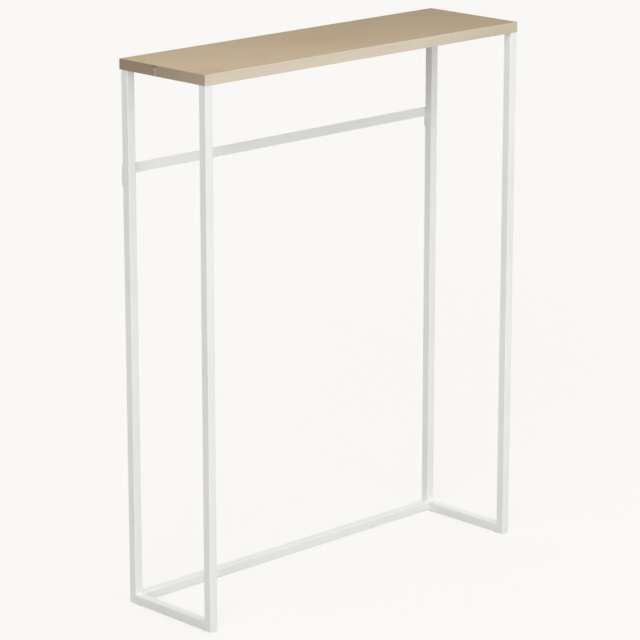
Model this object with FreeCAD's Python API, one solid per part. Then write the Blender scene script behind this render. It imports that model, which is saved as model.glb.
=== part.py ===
import FreeCAD
import Part
import os

# A tall slim wall table: a veneered board on a welded frame of square steel tube.
# It stands on four glides, and two keyhole lugs behind the rear legs hook it to a wall.
# Millimetres. Origin on the floor at the middle of the top's outline.
# X runs along the table, -Y is the front, +Y is the wall and Z is up.

# Overall size
table_height = 900.0
top_length = 700.0
top_depth = 200.0

# Veneered board
core_thickness = 16.0
veneer_thickness = 0.6
band_thickness = 1.0
band_edge_radius = 0.4
band_joint_from_rear = 84.0
band_joint_gap = 0.6

# Square tube of the legs, the runners and the rear floor rail
tube_side = 15.0
tube_wall = 1.5
tube_corner_radius = 1.5
frame_reveal = 0.5

# Push-in glides under the runners
glide_height = 2.0
glide_diameter = 9.0
glide_edge_radius = 0.5
glide_stem_diameter = 5.0
glide_stem_length = 7.0
glide_inset = 20.0
glide_hole_clearance = 0.2

# Flat rail and lugs behind the rear legs
wall_rail_top_height = 730.0
wall_rail_height = 16.0
wall_rail_thickness = 1.6
wall_rail_end_inset = 4.0
lug_height = 35.0
lug_thickness = 1.6
lug_corner_radius = 4.5

# Keyholes for two wall screws
keyhole_entry_diameter = 9.0
keyhole_slot_width = 4.6
keyhole_travel = 7.5
keyhole_entry_rise = 8.0
leg_slot_clearance = 0.5

# Corner plates that carry the board, and its wood screws
plate_thickness = 2.0
plate_reach = 45.0
plate_setback = 8.0
plate_chamfer = 14.0
screw_edge_distance = 9.0
screw_shank_diameter = 3.5
screw_length = 14.0
screw_tip_length = 3.5
screw_tip_diameter = 0.4
screw_head_diameter = 7.0
screw_head_height = 2.2
screw_head_radius = 1.2
screw_recess_length = 4.0
screw_recess_width = 0.9
screw_recess_depth = 1.2
plate_hole_clearance = 1.0
pilot_clearance = 0.1
pilot_extra_depth = 1.0

# Heights
top_thickness = core_thickness + 2 * veneer_thickness
top_underside = table_height - top_thickness
core_bottom = top_underside + veneer_thickness
core_top = core_bottom + core_thickness
frame_bottom = glide_height
runner_top = frame_bottom + tube_side
plate_bottom = top_underside - plate_thickness
wall_rail_bottom = wall_rail_top_height - wall_rail_height
lug_bottom = wall_rail_top_height - lug_height
keyhole_entry_height = lug_bottom + keyhole_entry_rise
keyhole_seat_height = keyhole_entry_height + keyhole_travel

# Lengths and depths: the lug and the rail fill the space between the rear legs and the wall
top_left = -top_length / 2
top_right = top_length / 2
top_front = -top_depth / 2
top_rear = top_depth / 2
frame_left = top_left + frame_reveal
frame_right = top_right - frame_reveal
frame_front = top_front + frame_reveal
lug_rear = top_rear - wall_rail_thickness
frame_rear = lug_rear - lug_thickness
band_joint = top_rear - band_joint_from_rear

# Each leg stands at one corner: its outer faces, and the way to the middle of the table from them
corners = {
    "left_front": (frame_left, frame_front, 1, 1),
    "left_rear": (frame_left, frame_rear, 1, -1),
    "right_front": (frame_right, frame_front, -1, 1),
    "right_rear": (frame_right, frame_rear, -1, -1),
}

x_axis = FreeCAD.Vector(1, 0, 0)
y_axis = FreeCAD.Vector(0, 1, 0)
z_axis = FreeCAD.Vector(0, 0, 1)


def block(x_ends, y_ends, z_ends):
    low = FreeCAD.Vector(min(x_ends), min(y_ends), min(z_ends))
    high = FreeCAD.Vector(max(x_ends), max(y_ends), max(z_ends))
    size = high - low
    return Part.makeBox(size.x, size.y, size.z, low)


def prism(points, sweep):
    outline = [FreeCAD.Vector(*point) for point in points]
    return Part.Face(Part.makePolygon(outline + outline[:1])).extrude(sweep)


def edges_along(shape, axis):
    return [edge for edge in shape.Edges if abs(edge.tangentAt(edge.FirstParameter).dot(axis)) > 0.999]


def edges_where(shape, test):
    return [edge for edge in shape.Edges if test(edge.CenterOfMass)]


def square_tube(x_ends, y_ends, z_ends, axis):
    # The bore runs right through along the axis
    outer = block(x_ends, y_ends, z_ends)
    outer = outer.makeFillet(tube_corner_radius, edges_along(outer, axis))
    ends = []
    for pair, direction in ((x_ends, x_axis), (y_ends, y_axis), (z_ends, z_axis)):
        wall = 0 if abs(direction.dot(axis)) > 0.5 else tube_wall
        ends.append((min(pair) + wall, max(pair) - wall))
    return outer.cut(block(*ends))


def mitre_half(corner_x, corner_y, inward_x, inward_y, above):
    # One side of the 45 degree plane through the frame's bottom edge, as wide as the tube and more
    over = tube_side
    low_y = corner_y - inward_y * over
    high_y = corner_y + inward_y * (tube_side + over)
    low_z = frame_bottom - over
    high_z = frame_bottom + tube_side + over
    start_x = corner_x - inward_x * over
    third = (start_x, low_y, high_z) if above else (start_x, high_y, low_z)
    points = [(start_x, low_y, low_z), (start_x, high_y, high_z), third]
    return prism(points, x_axis * (inward_x * (tube_side + 2 * over)))


def upright_slot(x, y_ends, low_z, high_z, width):
    # A slot with round ends, cut through along Y between two centre heights
    depth = max(y_ends) - min(y_ends)
    slot = block((x - width / 2, x + width / 2), y_ends, (low_z, high_z))
    for z in (low_z, high_z):
        end = FreeCAD.Vector(x, min(y_ends), z)
        slot = slot.fuse(Part.makeCylinder(width / 2, depth, end, y_axis))
    return slot


def tube_middle(corner_x, inward_x):
    return corner_x + inward_x * tube_side / 2


def leg(corner_x, corner_y, inward_x, inward_y):
    x_ends = (corner_x, corner_x + inward_x * tube_side)
    y_ends = (corner_y, corner_y + inward_y * tube_side)
    tube = square_tube(x_ends, y_ends, (frame_bottom, top_underside), z_axis)
    tube = tube.cut(mitre_half(corner_x, corner_y, inward_x, inward_y, above=False))
    if inward_y > 0:
        return tube
    # The wall screw's head slides up inside a rear leg
    head_slot = upright_slot(
        tube_middle(corner_x, inward_x),
        (corner_y - tube_side / 2, corner_y + tube_wall),
        keyhole_entry_height,
        keyhole_seat_height,
        keyhole_entry_diameter + 2 * leg_slot_clearance,
    )
    return tube.cut(head_slot)


def runner(corner_x, inward_x):
    x_ends = (corner_x, corner_x + inward_x * tube_side)
    tube = square_tube(x_ends, (frame_front, frame_rear), (frame_bottom, runner_top), y_axis)
    for corner_y, inward_y in ((frame_front, 1), (frame_rear, -1)):
        tube = tube.cut(mitre_half(corner_x, corner_y, inward_x, inward_y, above=True))
        hole_x, hole_y = glide_centre(corner_x, corner_y, inward_x, inward_y)
        hole_base = FreeCAD.Vector(hole_x, hole_y, frame_bottom - tube_wall)
        hole_radius = (glide_stem_diameter + glide_hole_clearance) / 2
        tube = tube.cut(Part.makeCylinder(hole_radius, 3 * tube_wall, hole_base, z_axis))
    return tube


def rear_floor_rail():
    x_ends = (frame_left + tube_side, frame_right - tube_side)
    return square_tube(x_ends, (frame_rear - tube_side, frame_rear), (frame_bottom, runner_top), x_axis)


def glide_centre(corner_x, corner_y, inward_x, inward_y):
    return tube_middle(corner_x, inward_x), corner_y + inward_y * glide_inset


def glide(corner_x, corner_y, inward_x, inward_y):
    x, y = glide_centre(corner_x, corner_y, inward_x, inward_y)
    base = FreeCAD.Vector(x, y, 0)
    pad = Part.makeCylinder(glide_diameter / 2, glide_height, base, z_axis)
    lower_rim = edges_where(pad, lambda middle: middle.z < glide_height / 4)
    pad = pad.makeFillet(glide_edge_radius, lower_rim)
    stem = Part.makeCylinder(glide_stem_diameter / 2, glide_height + glide_stem_length, base, z_axis)
    return pad.fuse(stem).removeSplitter()


def wall_lug(corner_x, inward_x):
    x_ends = (corner_x, corner_x + inward_x * tube_side)
    plate = block(x_ends, (frame_rear, lug_rear), (lug_bottom, wall_rail_top_height))
    lower = [edge for edge in edges_along(plate, y_axis) if edge.CenterOfMass.z < wall_rail_bottom]
    plate = plate.makeFillet(lug_corner_radius, lower)
    x = tube_middle(corner_x, inward_x)
    through = (frame_rear - lug_thickness, lug_rear + lug_thickness)
    entry_base = FreeCAD.Vector(x, min(through), keyhole_entry_height)
    entry = Part.makeCylinder(keyhole_entry_diameter / 2, max(through) - min(through), entry_base, y_axis)
    slot = upright_slot(x, through, keyhole_entry_height, keyhole_seat_height, keyhole_slot_width)
    return plate.cut(entry.fuse(slot))


def wall_rail():
    x_ends = (frame_left + wall_rail_end_inset, frame_right - wall_rail_end_inset)
    return block(x_ends, (lug_rear, top_rear), (wall_rail_bottom, wall_rail_top_height))


def plate_screw_points(corner_x, corner_y, inward_x, inward_y):
    near = plate_setback + screw_edge_distance
    far = plate_reach - screw_edge_distance
    return [(corner_x + inward_x * u, corner_y + inward_y * v) for u, v in ((far, near), (near, far))]


def screw_sites():
    return [point for corner in corners.values() for point in plate_screw_points(*corner)]


def top_plate(corner_x, corner_y, inward_x, inward_y):
    # An L round the leg's two inner faces, with the corner towards the middle cut off
    inner = plate_reach - plate_chamfer
    outline = [
        (plate_setback, tube_side),
        (tube_side, tube_side),
        (tube_side, plate_setback),
        (plate_reach, plate_setback),
        (plate_reach, inner),
        (inner, plate_reach),
        (plate_setback, plate_reach),
    ]
    points = [(corner_x + inward_x * u, corner_y + inward_y * v, plate_bottom) for u, v in outline]
    plate = prism(points, z_axis * plate_thickness)
    hole_radius = (screw_shank_diameter + plate_hole_clearance) / 2
    for x, y in plate_screw_points(corner_x, corner_y, inward_x, inward_y):
        hole_base = FreeCAD.Vector(x, y, plate_bottom - plate_thickness)
        plate = plate.cut(Part.makeCylinder(hole_radius, 3 * plate_thickness, hole_base, z_axis))
    return plate


def wood_screw(x, y):
    # A pan head with a cross recess bears on the plate's lower face, and the point is slightly blunt
    shank_radius = screw_shank_diameter / 2
    straight = screw_length - screw_tip_length
    head_low = plate_bottom - screw_head_height
    head_base = FreeCAD.Vector(x, y, head_low)
    head = Part.makeCylinder(screw_head_diameter / 2, screw_head_height, head_base, z_axis)
    lower_rim = edges_where(head, lambda middle: middle.z < head_low + screw_head_height / 4)
    head = head.makeFillet(screw_head_radius, lower_rim)
    recess_z = (head_low - screw_recess_depth, head_low + screw_recess_depth)
    half_long = screw_recess_length / 2
    half_wide = screw_recess_width / 2
    for half_x, half_y in ((half_long, half_wide), (half_wide, half_long)):
        head = head.cut(block((x - half_x, x + half_x), (y - half_y, y + half_y), recess_z))
    shank = Part.makeCylinder(shank_radius, straight, FreeCAD.Vector(x, y, plate_bottom), z_axis)
    tip_base = FreeCAD.Vector(x, y, plate_bottom + straight)
    tip = Part.makeCone(shank_radius, screw_tip_diameter / 2, screw_tip_length, tip_base, z_axis)
    return head.fuse([shank, tip]).removeSplitter()


def pilot_drilled(board):
    radius = screw_shank_diameter / 2 + pilot_clearance
    depth = screw_length - plate_thickness + pilot_extra_depth
    for x, y in screw_sites():
        base = FreeCAD.Vector(x, y, top_underside - pilot_extra_depth)
        board = board.cut(Part.makeCylinder(radius, depth + pilot_extra_depth, base, z_axis))
    return board


def board_layer(z_ends):
    x_ends = (top_left + band_thickness, top_right - band_thickness)
    y_ends = (top_front + band_thickness, top_rear - band_thickness)
    return block(x_ends, y_ends, z_ends)


def long_edge_band(outer_y, inward_y):
    # All four edges of the outer face are lightly rounded
    y_ends = (outer_y, outer_y + inward_y * band_thickness)
    band = block((top_left, top_right), y_ends, (top_underside, table_height))
    outer_edges = edges_where(band, lambda middle: abs(middle.y - outer_y) < band_thickness / 4)
    return band.makeFillet(band_edge_radius, outer_edges)


def end_edge_band(outer_x, inward_x, y_ends):
    # Only the long edges are rounded, because the ends butt against other bands
    x_ends = (outer_x, outer_x + inward_x * band_thickness)
    band = block(x_ends, y_ends, (top_underside, table_height))
    outer_edges = [
        edge
        for edge in edges_along(band, y_axis)
        if abs(edge.CenterOfMass.x - outer_x) < band_thickness / 4
    ]
    return band.makeFillet(band_edge_radius, outer_edges)


nodes = {}

for place, corner in corners.items():
    nodes[place + "_leg"] = leg(*corner)
    nodes[place + "_top_plate"] = top_plate(*corner)
    nodes[place + "_glide"] = glide(*corner)

for side, corner_x, inward_x in (("left", frame_left, 1), ("right", frame_right, -1)):
    nodes[side + "_floor_runner"] = runner(corner_x, inward_x)
    nodes[side + "_wall_lug"] = wall_lug(corner_x, inward_x)

nodes["rear_floor_rail"] = rear_floor_rail()
nodes["wall_rail"] = wall_rail()
nodes["top_screws"] = Part.makeCompound([wood_screw(x, y) for x, y in screw_sites()])

nodes["top_core"] = pilot_drilled(board_layer((core_bottom, core_top)))
nodes["top_veneer"] = board_layer((core_top, table_height))
nodes["top_backing"] = pilot_drilled(board_layer((top_underside, core_bottom)))
nodes["front_edge_band"] = long_edge_band(top_front, 1)
nodes["rear_edge_band"] = long_edge_band(top_rear, -1)

end_front = top_front + band_thickness
end_rear = top_rear - band_thickness
nodes["right_edge_band"] = end_edge_band(top_right, -1, (end_front, end_rear))
nodes["left_edge_band_front"] = end_edge_band(top_left, 1, (end_front, band_joint - band_joint_gap / 2))
nodes["left_edge_band_rear"] = end_edge_band(top_left, 1, (band_joint + band_joint_gap / 2, end_rear))

os.makedirs("parts", exist_ok=True)
for name, shape in nodes.items():
    shape.exportStep(os.path.join("parts", name + ".step"))
    print(name, "solids", len(shape.Solids), "valid", shape.isValid(), "volume", round(shape.Volume, 1))
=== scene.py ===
from math import pi, sin

import bmesh
import bpy
from mathutils import Color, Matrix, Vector


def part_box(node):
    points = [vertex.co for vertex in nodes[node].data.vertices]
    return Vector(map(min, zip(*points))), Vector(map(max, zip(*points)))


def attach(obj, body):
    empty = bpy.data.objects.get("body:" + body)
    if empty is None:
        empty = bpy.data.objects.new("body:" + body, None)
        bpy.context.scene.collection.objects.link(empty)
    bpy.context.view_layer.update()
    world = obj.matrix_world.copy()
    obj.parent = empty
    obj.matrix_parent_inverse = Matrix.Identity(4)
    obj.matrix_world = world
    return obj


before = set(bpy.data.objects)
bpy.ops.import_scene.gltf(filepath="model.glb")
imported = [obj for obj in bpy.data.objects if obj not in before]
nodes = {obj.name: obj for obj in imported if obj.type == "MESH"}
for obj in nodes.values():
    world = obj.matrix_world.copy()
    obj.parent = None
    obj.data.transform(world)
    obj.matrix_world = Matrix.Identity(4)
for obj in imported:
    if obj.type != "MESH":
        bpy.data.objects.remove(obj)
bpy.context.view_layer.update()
scene = bpy.context.scene
print("wall table loaded:", len(nodes), "pieces")


# small helpers for node trees

noiseSpan = (0.3, 0.7)          # most of a noise's values lie between these
noiseMiddle = 0.5
patchSpan = (0.35, 0.7)         # from no patch to a full one, for soft patches made of noise


def linear(rgb):
    # a colour as a paint chart gives it, 0 to 255, turned into shader values
    return (*Color([value / 255 for value in rgb]).from_srgb_to_scene_linear(), 1.0)


def put(tree, kind, inputs=None, **settings):
    # a new node: an output of another node is linked to its input, a plain value is set there
    node = tree.nodes.new("ShaderNode" + kind)
    for key, value in settings.items():
        setattr(node, key, value)
    for key, value in (inputs or {}).items():
        if isinstance(value, bpy.types.NodeSocket):
            tree.links.new(value, node.inputs[key])
        else:
            node.inputs[key].default_value = value
    return node


def freshTree(owner):
    owner.use_nodes = True
    owner.node_tree.nodes.clear()
    return owner.node_tree


def blank(name):
    mat = bpy.data.materials.new(name)
    tree = freshTree(mat)
    shader = put(tree, "BsdfPrincipled")
    put(tree, "OutputMaterial", {"Surface": shader.outputs["BSDF"]})
    return mat, tree, shader


def objectSpace(tree):
    return put(tree, "TexCoord").outputs["Object"]


def calc(tree, operation, a, b=0.0):
    return put(tree, "Math", {0: a, 1: b}, operation=operation).outputs[0]


def stretched(tree, vector, scale):
    return put(tree, "VectorMath", {0: vector, 1: scale}, operation="MULTIPLY").outputs[0]


def noise(tree, vector, scale, detail, rough):
    node = put(tree, "TexNoise", {"Vector": vector, "Scale": scale, "Detail": detail, "Roughness": rough})
    return node.outputs["Fac"]


def remap(tree, value, span, to=(0.0, 1.0), ease="LINEAR"):
    ends = {"From Min": span[0], "From Max": span[1], "To Min": to[0], "To Max": to[1]}
    return put(tree, "MapRange", {"Value": value, **ends}, interpolation_type=ease).outputs["Result"]


def blendColours(tree, share, a, b):
    # the mix node's colour sockets are its inputs 6 and 7 and its output 2
    return put(tree, "Mix", {0: share, 6: a, 7: b}, data_type="RGBA").outputs[2]


def wire(tree, shader, colour, rough, height, relief):
    # colour, roughness and bump to the shader; relief is the bump's strength and its depth in metres
    strength, depth = relief
    bump = put(tree, "Bump", {"Strength": strength, "Distance": depth, "Height": height})
    tree.links.new(colour, shader.inputs["Base Color"])
    tree.links.new(rough, shader.inputs["Roughness"])
    tree.links.new(bump.outputs["Normal"], shader.inputs["Normal"])


# helpers for pieces

sharpAngle = 0.6                # radians; flatter edges are shaded smooth


def dress(mat, *names):
    for name in names:
        slots = nodes[name].data.materials
        slots.clear()
        slots.append(mat)


def loft(name, rings, mat):
    # a closed strip through rings of points, with capped ends
    shape = bmesh.new()
    made = [[shape.verts.new(point) for point in ring] for ring in rings]
    size = len(rings[0])
    for a, b in zip(made, made[1:]):
        for i in range(size):
            j = (i + 1) % size
            shape.faces.new((a[i], a[j], b[j], b[i]))
    shape.faces.new(made[0])
    shape.faces.new(made[-1][::-1])
    bmesh.ops.recalc_face_normals(shape, faces=shape.faces)
    mesh = bpy.data.meshes.new(name)
    shape.to_mesh(mesh)
    shape.free()
    mesh.shade_smooth()
    mesh.set_sharp_from_angle(angle=sharpAngle)
    mesh.materials.append(mat)
    piece = bpy.data.objects.new(name, mesh)
    scene.collection.objects.link(piece)
    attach(piece, "root")


# white powder coat on the tubes, plates, lugs and rail

coat = {
    "white": (245, 246, 245),
    "thin": (240, 241, 239),        # where the coat lies a little thinner
    "patchScale": 7.0,              # such patches per metre
    "peelSize": 0.0016,             # metres from one orange-peel dimple to the next
    "grainSize": 0.00045,
    "grainHeight": 0.25,            # as a share of the peel's
    "relief": (0.5, 0.00003),
    "roughness": (0.40, 0.50),
    "gloss": 0.45,
}


def makeCoat():
    mat, tree, shader = blank("whiteCoat")
    where = objectSpace(tree)
    peel = noise(tree, where, 1 / coat["peelSize"], detail=1.0, rough=0.4)
    grain = noise(tree, where, 1 / coat["grainSize"], detail=2.0, rough=0.6)
    cloud = noise(tree, where, coat["patchScale"], detail=2.0, rough=0.5)
    patch = remap(tree, cloud, patchSpan)
    colour = blendColours(tree, patch, linear(coat["white"]), linear(coat["thin"]))
    rough = remap(tree, grain, noiseSpan, coat["roughness"])
    height = calc(tree, "ADD", peel, calc(tree, "MULTIPLY", grain, coat["grainHeight"]))
    wire(tree, shader, colour, rough, height, coat["relief"])
    shader.inputs["Specular IOR Level"].default_value = coat["gloss"]
    return mat


coatedSteel = [n for n in nodes if n.endswith(("_leg", "_runner", "_rail", "_lug", "_top_plate"))]
whiteCoat = makeCoat()
dress(whiteCoat, *coatedSteel)
print("white coat on", len(coatedSteel), "steel pieces")


# wood: one grain recipe, turned and toned for the face, the backing and each edge band; the tones hold
# painted light and shade

# layers of the figure: waves per metre along and across the grain; a span is where one starts and is full
figure = {
    "sway": {"along": 1.7, "across": 7.0, "detail": 1.0, "rough": 0.5},
    "rings": {"along": 1.4, "detail": 2.0, "rough": 0.55},      # across comes from the ring width
    "fibres": {"along": 11.0, "across": 1300.0, "detail": 3.0, "rough": 0.6},
    "pores": {"along": 60.0, "across": 2100.0, "detail": 1.0, "rough": 0.5, "span": (0.58, 0.70)},
    "streaks": {"along": 7.0, "across": 120.0, "detail": 2.0, "rough": 0.5, "span": (0.62, 0.78)},
    "clouds": {"along": 4.0, "across": 11.0, "detail": 2.0, "rough": 0.55, "span": (0.48, 0.72)},
}
face = {
    "alongAxis": "x", "acrossAxis": "y",
    # pale to deep is partly the veneer's own tone and partly painted light: paler at the left front where the
    # light and its sheen fall, darker towards the right end and the rear
    "pale": (186, 165, 134), "deep": (161, 139, 101), "warm": (172, 140, 95),
    "paleEnd": -0.60, "deepEnd": 0.60,      # metres along the leaf, here past its ends
    "slant": 2.5,                           # how much faster the tone changes across it
    "wander": 0.3,                          # metres by which clouds shift the tone
    "warmMost": 0.55,                       # share of the warm colour in the clouds
    "warmSpot": (0.01, 0.01), "warmReach": (0.16, 0.08),
    "spotEdge": (-0.1, 1.1), "spotShare": (1.1, 0.0),   # from the spot's middle to its outline
    "spotBreak": 1.2,                       # how far clouds break that outline
    "ringWidth": 0.007, "sway": 0.016,      # metres
    "rings": 0.035, "fibres": 0.030, "pores": 0.10, "streaks": 0.06,    # how much each changes the tone
    "fibreHeight": 0.4,                     # as a share of the pores' depth
    "relief": (0.4, 0.00006),
    "roughness": (0.50, 0.62),
    "gloss": 0.35,
}
# the backing keeps the face's pale-to-deep drift, so it carries the same painted light and shade
backing = dict(
    face, warmSpot=None, pale=(180, 160, 130), deep=(164, 143, 112), warm=(172, 146, 116), rings=0.05)
# the long bands turn deeper towards the right end: partly painted shade, as on the face
longBand = dict(
    face, acrossAxis="z", warmSpot=None, pale=(219, 207, 187), deep=(201, 187, 163), warm=(220, 204, 183),
    paleEnd=0.15, deepEnd=0.36, slant=0.0, ringWidth=0.004, sway=0.003)
# the end bands are the long bands' veneer painted darker: painted shade on the ends, which face away from the
# light, darker still towards the rear; the right band copies the front one
frontEndBand = dict(
    longBand, alongAxis="y", pale=(181, 165, 147), deep=(172, 151, 130), warm=(174, 153, 132),
    paleEnd=-0.10, deepEnd=0.02, rings=0.05)
rearEndBand = dict(
    frontEndBand, pale=(164, 144, 120), deep=(158, 139, 116), warm=(162, 138, 112),
    paleEnd=0.02, deepEnd=0.10)
rightEndBand = dict(frontEndBand, pale=(172, 153, 131), deep=(166, 147, 124), deepEnd=0.10)

# the butt joint in the left band: bare cut edges with a line of glue between them, and a darker patch at its
# top
joint = {
    "foot": 0.0022, "head": 0.0134,         # the pale line runs between these heights above the band's foot
    "cutEdge": 0.0005, "cutColour": (204, 190, 166),        # bare wood on each side of the glue
    "cutBlur": 0.0003, "endBlur": 0.0006,   # metres over which it ends, sideways and up or down
    "darkPatchFoot": 0.0117, "darkPatchBlur": 0.003, "darkPatchReach": 0.009, "darkPatchDepth": 0.34,
}
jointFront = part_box("left_edge_band_front")[1].y
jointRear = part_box("left_edge_band_rear")[0].y
jointAt = (jointFront + jointRear) / 2
jointGap = jointRear - jointFront
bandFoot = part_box("left_edge_band_rear")[0].z


def layer(tree, vector, look):
    scale = (look["along"], look["across"], look["across"])
    return noise(tree, stretched(tree, vector, scale), scale=1.0, detail=look["detail"], rough=look["rough"])


def warmSpot(tree, look, place, cloudSwing, rings):
    # a warm patch near the middle of the leaf
    offset = put(tree, "VectorMath", {0: place, 1: (*look["warmSpot"], 0.0)}, operation="SUBTRACT").outputs[0]
    reachAlong, reachAcross = look["warmReach"]
    scaled = stretched(tree, offset, (1 / reachAlong, 1 / reachAcross, 0.0))
    away = put(tree, "VectorMath", {0: scaled}, operation="LENGTH").outputs["Value"]
    away = calc(tree, "ADD", away, calc(tree, "MULTIPLY", cloudSwing, look["spotBreak"]))
    spot = remap(tree, away, look["spotEdge"], look["spotShare"], ease="SMOOTHSTEP")
    return calc(tree, "MULTIPLY", spot, rings)


def jointMarks(tree, along, across, colour, tone):
    away = calc(tree, "ABSOLUTE", calc(tree, "SUBTRACT", along, jointAt))
    height = calc(tree, "SUBTRACT", across, bandFoot)
    edge = jointGap / 2 + joint["cutEdge"]
    foot, head, blur = joint["foot"], joint["head"], joint["endBlur"]
    bare = remap(tree, away, (edge, edge + joint["cutBlur"]), (1.0, 0.0))
    bare = calc(tree, "MULTIPLY", bare, remap(tree, height, (head, head + blur), (1.0, 0.0)))
    bare = calc(tree, "MULTIPLY", bare, remap(tree, height, (foot - blur, foot)))
    colour = blendColours(tree, bare, colour, linear(joint["cutColour"]))
    # darker in a small patch at the top of the joint, next to the top face
    near = remap(tree, away, (0.0, joint["darkPatchReach"]), (1.0, 0.0))
    above = remap(tree, height, (joint["darkPatchFoot"], joint["darkPatchFoot"] + joint["darkPatchBlur"]))
    darkPatch = calc(tree, "MULTIPLY", near, above)
    return colour, calc(tree, "SUBTRACT", tone, calc(tree, "MULTIPLY", darkPatch, joint["darkPatchDepth"]))


def makeWood(name, look, jointed=False):
    mat, tree, shader = blank(name)
    axes = dict(zip("xyz", put(tree, "SeparateXYZ", {0: objectSpace(tree)}).outputs))
    along = axes.pop(look["alongAxis"])
    across = axes.pop(look["acrossAxis"])
    through = axes.popitem()[1]             # the one that is left
    plain = put(tree, "CombineXYZ", {0: along, 1: across, 2: through}).outputs[0]

    # the grain sways gently from side to side along the leaf
    sway = calc(tree, "SUBTRACT", layer(tree, plain, figure["sway"]), noiseMiddle)
    swung = calc(tree, "ADD", across, calc(tree, "MULTIPLY", sway, look["sway"]))
    grain = put(tree, "CombineXYZ", {0: along, 1: swung, 2: through}).outputs[0]

    rings = layer(tree, grain, dict(figure["rings"], across=1 / look["ringWidth"]))
    fibres = layer(tree, grain, figure["fibres"])
    pores = remap(tree, layer(tree, grain, figure["pores"]), figure["pores"]["span"])
    streaks = remap(tree, layer(tree, grain, figure["streaks"]), figure["streaks"]["span"])
    clouds = layer(tree, plain, figure["clouds"])
    cloudSwing = calc(tree, "SUBTRACT", clouds, noiseMiddle)

    # pale at one end and deeper at the other, partly the veneer's own tone and partly painted light and
    # shade, with warm clouds
    slanted = calc(tree, "ADD", along, calc(tree, "MULTIPLY", across, look["slant"]))
    drift = calc(tree, "ADD", slanted, calc(tree, "MULTIPLY", cloudSwing, look["wander"]))
    share = remap(tree, drift, (look["paleEnd"], look["deepEnd"]))
    colour = blendColours(tree, share, linear(look["pale"]), linear(look["deep"]))
    warmth = remap(tree, clouds, figure["clouds"]["span"], (0.0, look["warmMost"]))
    if look["warmSpot"]:
        warmth = calc(tree, "MAXIMUM", warmth, warmSpot(tree, look, plain, cloudSwing, rings))
    colour = blendColours(tree, warmth, colour, linear(look["warm"]))

    # rings and fibres lighten or darken it, pores and streaks only darken it
    tone = 1.0
    for part, amount in ((rings, look["rings"]), (fibres, look["fibres"])):
        tone = calc(tree, "ADD", tone, remap(tree, part, noiseSpan, (-amount, amount)))
    for part, amount in ((pores, look["pores"]), (streaks, look["streaks"])):
        tone = calc(tree, "SUBTRACT", tone, calc(tree, "MULTIPLY", part, amount))
    if jointed:
        colour, tone = jointMarks(tree, along, across, colour, tone)
    toned = put(tree, "VectorMath", {0: colour, "Scale": tone}, operation="SCALE").outputs[0]

    rough = remap(tree, fibres, noiseSpan, look["roughness"])
    height = calc(tree, "SUBTRACT", calc(tree, "MULTIPLY", fibres, look["fibreHeight"]), pores)
    wire(tree, shader, toned, rough, height, look["relief"])
    shader.inputs["Specular IOR Level"].default_value = look["gloss"]
    return mat


dress(makeWood("faceVeneer", face), "top_veneer")
dress(makeWood("backingVeneer", backing), "top_backing")
dress(makeWood("longEdgeBand", longBand), "front_edge_band", "rear_edge_band")
dress(makeWood("frontEndBand", frontEndBand, jointed=True), "left_edge_band_front")
dress(makeWood("rearEndBand", rearEndBand, jointed=True), "left_edge_band_rear")
dress(makeWood("rightEndBand", rightEndBand), "right_edge_band")
print("veneer and edge bands on the top")


# glue that shows as a pale line in the joint of the left band

glue = {
    "cream": (212, 199, 176), "amber": (196, 180, 152),
    "cloudScale": 900.0,                    # clouds per metre
    "roughness": (0.45, 0.6),
    "relief": (0.4, 0.00005),
    "sunk": 0.000072, "waver": 0.000048,    # metres behind the band's face, and how much that varies
    "waverStep": 2.3,                       # radians from one station to the next
    "edgeSunk": 0.4,                        # as a share of the middle's
    "stations": 15,
}


def makeGlue():
    mat, tree, shader = blank("jointGlue")
    cloud = noise(tree, objectSpace(tree), glue["cloudScale"], detail=3.0, rough=0.6)
    patch = remap(tree, cloud, patchSpan)
    colour = blendColours(tree, patch, linear(glue["cream"]), linear(glue["amber"]))
    rough = remap(tree, cloud, noiseSpan, glue["roughness"])
    wire(tree, shader, colour, rough, cloud, glue["relief"])
    return mat


def makeGlueLine():
    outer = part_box("left_edge_band_rear")[0].x
    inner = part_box("left_edge_band_rear")[1].x
    front = jointAt - jointGap / 2
    rear = jointAt + jointGap / 2
    rings = []
    count = glue["stations"]
    for i in range(count):
        z = bandFoot + joint["head"] * i / (count - 1)
        sink = glue["sunk"] + glue["waver"] * sin(i * glue["waverStep"])
        middle = outer + sink
        edge = outer + sink * glue["edgeSunk"]
        ring = [(inner, front), (edge, front), (middle, jointAt), (edge, rear), (inner, rear)]
        rings.append([(x, y, z) for x, y in ring])
    loft("bandJointGlue", rings, makeGlue())


makeGlueLine()
print("glue line in the joint of the left band")


# painted weld beads in the inside corners of the frame

weld = {
    "leg": 0.0032, "root": 0.0004,          # metres along each tube face, and into the corner
    "ripple": 0.0017,                       # metres from one ripple to the next
    "rippleDepth": 0.07,                    # as a share of the leg
    "endSize": 0.55, "endSlope": 4.0,       # share of the leg at the bead's ends, and how fast it grows
    "hollow": 0.16,                         # how far the bead's face sinks in its middle
    "keepOff": 0.0015,                      # metres of rounded tube edge without a bead
    "facets": 6, "stations": 61,
}


def makeWeld(name, start, along, length, faceA, faceB):
    start, along, faceA, faceB = Vector(start), Vector(along), Vector(faceA), Vector(faceB)
    rings = []
    count = weld["stations"]
    facets = weld["facets"]
    for i in range(count):
        t = i / (count - 1)
        taper = min(1.0, weld["endSize"] + weld["endSlope"] * min(t, 1 - t))
        leg = weld["leg"] * taper * (1 + weld["rippleDepth"] * sin(t * length / weld["ripple"] * 2 * pi))
        spot = start + along * (length * t)
        ring = [spot - (faceA + faceB) * weld["root"]]
        for k in range(facets + 1):
            # a shallow hollow from one tube face to the other
            share = k / facets
            dip = 1 - weld["hollow"] * sin(share * pi)
            ring.append(spot + (faceA * (1 - share) + faceB * share) * leg * dip)
        ring[1] -= faceB * weld["root"]
        ring[-1] -= faceA * weld["root"]
        rings.append(ring)
    loft(name, rings, whiteCoat)


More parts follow.
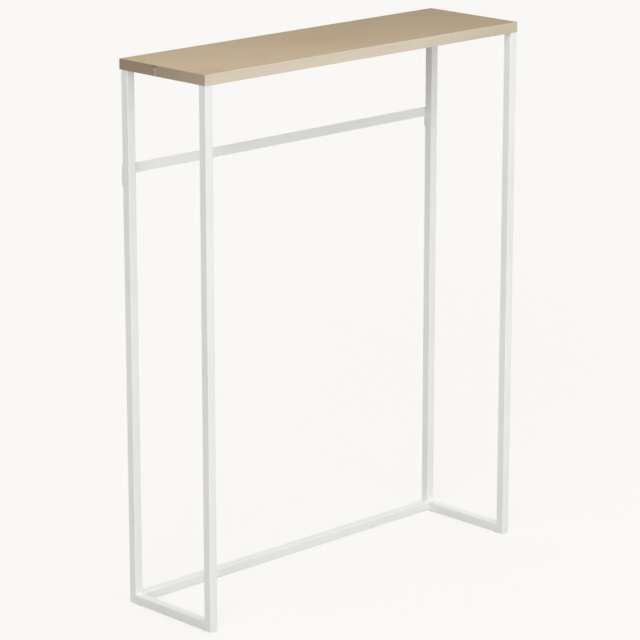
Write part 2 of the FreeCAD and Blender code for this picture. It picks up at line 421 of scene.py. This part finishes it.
def makeWelds():
    left, right, front, back, up = (-1, 0, 0), (1, 0, 0), (0, -1, 0), (0, 1, 0), (0, 0, 1)
    off = weld["keepOff"]
    for side, inwards in (("left", right), ("right", left)):
        low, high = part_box(side + "_floor_runner")
        rearLow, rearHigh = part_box(side + "_rear_leg")
        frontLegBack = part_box(side + "_front_leg")[1].y
        innerFace = high.x if inwards == right else low.x
        startX, startY, startZ = low.x + off, rearLow.y + off, low.z + off
        width = high.x - off - startX
        depth = rearHigh.y - off - startY
        height = high.z - off - startZ
        # where each bead starts, which way it runs and how far, and the ways in which its two legs lie
        beads = {
            "FrontLegWeld": ((startX, frontLegBack, high.z), right, width, back, up),
            "RearLegWeld": ((startX, rearLow.y, high.z), right, width, front, up),
            "RailTopWeld": ((innerFace, startY, high.z), back, depth, inwards, up),
            "RailFrontWeld": ((innerFace, rearLow.y, startZ), up, height, inwards, front),
        }
        for bead, run in beads.items():
            makeWeld(side + bead, *run)


makeWelds()
print("weld beads in the floor corners")


# raw fibre-board core, seen only in the joint of the left band

core = {
    "pale": (196, 178, 148), "brown": (158, 134, 102),
    "fleckSize": 0.0022,                    # metres
    "dustScale": 2500.0,                    # specks per metre
    "roughness": (0.75, 0.9),
    "relief": (0.6, 0.0002),
}


def makeCore():
    mat, tree, shader = blank("fibreCore")
    where = objectSpace(tree)
    flecks = put(tree, "TexVoronoi", {"Vector": where, "Scale": 1 / core["fleckSize"]}).outputs
    fleck = put(tree, "SeparateColor", {0: flecks["Color"]}).outputs[0]
    dust = noise(tree, where, core["dustScale"], detail=3.0, rough=0.6)
    share = calc(tree, "MULTIPLY", fleck, dust)
    colour = blendColours(tree, share, linear(core["pale"]), linear(core["brown"]))
    rough = remap(tree, dust, noiseSpan, core["roughness"])
    wire(tree, shader, colour, rough, flecks["Distance"], core["relief"])
    return mat


dress(makeCore(), "top_core")
print("fibre core in the top")


# pale plastic glides under the runners, and zinc-plated screws under the top

glide = {
    "clean": (214, 213, 208), "worn": (186, 184, 178),
    "patchScale": 900.0,                    # scuffs per metre
    "detail": 4.0, "rough": 0.65, "span": (0.5, 0.75),
    "roughness": (0.42, 0.6),
    "relief": (0.3, 0.00005),
    "metal": 0.0,
}
screw = {
    "clean": (196, 197, 196), "worn": (160, 160, 156),
    "patchScale": 700.0,                    # patches of dull bloom per metre
    "detail": 3.0, "rough": 0.6, "span": patchSpan,
    "roughness": (0.28, 0.45),
    "relief": (0.2, 0.00002),
    "metal": 1.0,
}


def makeWorn(name, look):
    # rougher and a little raised where the worn shade shows
    mat, tree, shader = blank(name)
    cloud = noise(tree, objectSpace(tree), look["patchScale"], look["detail"], look["rough"])
    patch = remap(tree, cloud, look["span"])
    colour = blendColours(tree, patch, linear(look["clean"]), linear(look["worn"]))
    rough = remap(tree, patch, (0.0, 1.0), look["roughness"])
    wire(tree, shader, colour, rough, patch, look["relief"])
    shader.inputs["Metallic"].default_value = look["metal"]
    return mat


glides = [n for n in nodes if n.endswith("_glide")]
dress(makeWorn("glidePlastic", glide), *glides)
print("plastic on", len(glides), "glides")
dress(makeWorn("platedSteel", screw), "top_screws")
print("zinc on the screws")


# studio: a pale floor, a dome of soft light fields and two soft lamps

studio = {
    "paper": (251, 249, 247),
    "backdrop": (247, 245, 243),    # behind the floor's far edge
    "bounce": (200, 199, 197),      # what the floor throws back at the table
    "light": (255, 255, 255),       # of the dome
    "floorHalf": 30.0,              # metres
    "floorGlow": 0.82,              # share of the floor that shows as plain paper
    "floorRough": 0.5,
}
# soft fields of the dome: which way they lie, how narrow they are and how bright
dome = {
    "front": {"way": (0.0, -1.0, 0.0), "narrow": 1.0, "level": 0.953},
    "top": {"way": (0.0, 0.0, 1.0), "narrow": 2.0, "level": 0.576},
    "key": {"way": (-0.7507, -0.5005, 0.4304), "narrow": 24.0, "level": 4.80},
    "rear": {"way": (0.6208, 0.7009, 0.3504), "narrow": 4.0, "level": 1.50},
}
# square lamps, in metres and watts
lamps = {
    "frontLamp": {"place": (-0.2, -1.55, 1.2), "aim": (0.05, 0.0, 0.45), "side": 0.7, "power": 3.22},
    "boardLamp": {"place": (-0.34, -0.09, 1.45), "aim": (-0.3, -0.05, 0.9), "side": 0.3, "power": 0.66},
}


def seenDirectly(tree):
    # 1 for what the camera sees, straight or in a gloss or glass, and 0 for light on the table
    path = put(tree, "LightPath").outputs
    most = calc(tree, "MAXIMUM", path["Is Camera Ray"], path["Is Glossy Ray"])
    return calc(tree, "MAXIMUM", most, path["Is Transmission Ray"])


def makeFloor():
    half = studio["floorHalf"]
    corners = [(-half, -half, 0), (half, -half, 0), (half, half, 0), (-half, half, 0)]
    mesh = bpy.data.meshes.new("floor")
    mesh.from_pydata(corners, [], [(0, 1, 2, 3)])
    floor = bpy.data.objects.new("floor", mesh)
    scene.collection.objects.link(floor)
    mat = bpy.data.materials.new("floorPaper")
    tree = freshTree(mat)
    paper = linear(studio["paper"])
    seen = seenDirectly(tree)
    tint = blendColours(tree, seen, linear(studio["bounce"]), paper)
    lit = put(tree, "BsdfDiffuse", {"Color": tint, "Roughness": studio["floorRough"]})
    glow = put(tree, "Emission", {"Color": paper})
    share = calc(tree, "MULTIPLY", seen, studio["floorGlow"])
    both = put(tree, "MixShader", {0: share, 1: lit.outputs[0], 2: glow.outputs[0]})
    put(tree, "OutputMaterial", {"Surface": both.outputs[0]})
    mesh.materials.append(mat)


def makeWorld():
    scene.world = bpy.data.worlds.new("studioDome")
    tree = freshTree(scene.world)
    outward = put(tree, "TexCoord").outputs["Generated"]
    level = 0.0
    for field in dome.values():
        facing = put(tree, "VectorMath", {0: outward, 1: field["way"]}, operation="DOT_PRODUCT")
        lobe = calc(tree, "POWER", calc(tree, "MAXIMUM", facing.outputs["Value"], 0.0), field["narrow"])
        level = calc(tree, "ADD", level, calc(tree, "MULTIPLY", lobe, field["level"]))
    soft = put(tree, "Background", {"Color": linear(studio["light"]), "Strength": level})
    plain = put(tree, "Background", {"Color": linear(studio["backdrop"])})
    both = put(tree, "MixShader", {0: seenDirectly(tree), 1: soft.outputs[0], 2: plain.outputs[0]})
    put(tree, "OutputWorld", {"Surface": both.outputs[0]})


def standAndAim(thing, place, aim):
    thing.location = place
    thing.rotation_euler = (Vector(aim) - Vector(place)).to_track_quat("-Z", "Y").to_euler()
    scene.collection.objects.link(thing)


def makeLamp(name, look):
    data = bpy.data.lights.new(name, "AREA")
    data.energy = look["power"]
    data.size = look["side"]
    lamp = bpy.data.objects.new(name, data)
    lamp.visible_camera = False
    standAndAim(lamp, look["place"], look["aim"])


makeFloor()
makeWorld()
for lampName, lampLook in lamps.items():
    makeLamp(lampName, lampLook)
print("studio lit by the dome and", len(lamps), "lamps")


# camera at the photograph's side, a long lens from the front left

shot = {
    "place": (-3.3346, -3.4297, 1.7266), "aim": (-0.0114, 0.0, 0.4339),
    "lens": 168.75, "sensor": 36.0,         # millimetres
    "farthest": 100.0,                      # metres that it sees
}


def makeCamera():
    data = bpy.data.cameras.new("camera")
    data.sensor_width = shot["sensor"]
    data.lens = shot["lens"]
    data.clip_end = shot["farthest"]
    camera = bpy.data.objects.new("camera", data)
    standAndAim(camera, shot["place"], shot["aim"])
    scene.camera = camera


makeCamera()
scene.view_settings.view_transform = "Standard"
print("camera set")
